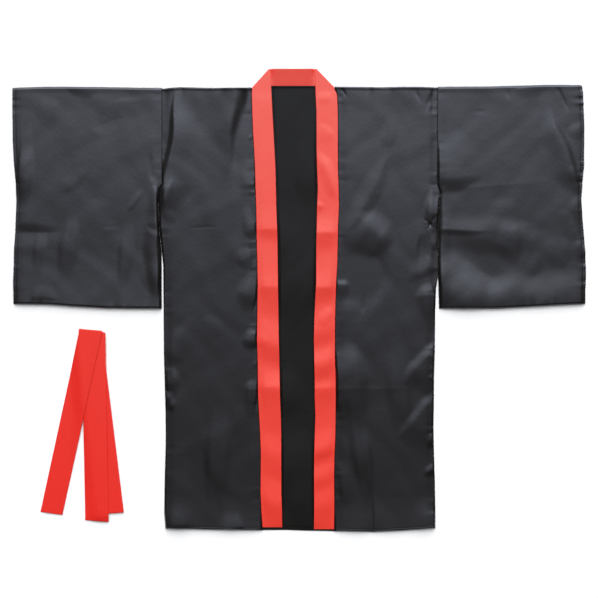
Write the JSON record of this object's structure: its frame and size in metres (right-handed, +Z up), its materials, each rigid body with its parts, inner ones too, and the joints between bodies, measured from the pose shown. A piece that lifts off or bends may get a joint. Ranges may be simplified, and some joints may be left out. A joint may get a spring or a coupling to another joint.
{
  "type": "happi coat",
  "caption": "Long wide-sleeved happi coat in satin with a contrasting collar, laid out flat with its front up, its folded belt beside it",
  "frame": {"origin": "on the surface that the coat lies on, under the middle of the whole, belt included", "axes": "+X from one cuff to the other, towards the coat's right as it is looked at; +Y from hem to collar; +Z up, out of the coat's front"},
  "size_m": [1.295, 1.0462, 0.0098],
  "materials": {
    "black_satin": "polyester satin, black, soft sheen along the coat",
    "red_satin": "polyester satin, bright red, soft sheen"
  },
  "bodies": {
    "root": {"back": "black_satin", "front_left": "black_satin", "front_right": "black_satin", "sleeve_left": "black_satin", "sleeve_right": "black_satin", "collar": "red_satin", "belt_end_left": "red_satin", "belt_end_middle": "red_satin", "belt_loop": "red_satin"}
  },
  "joints": []
}
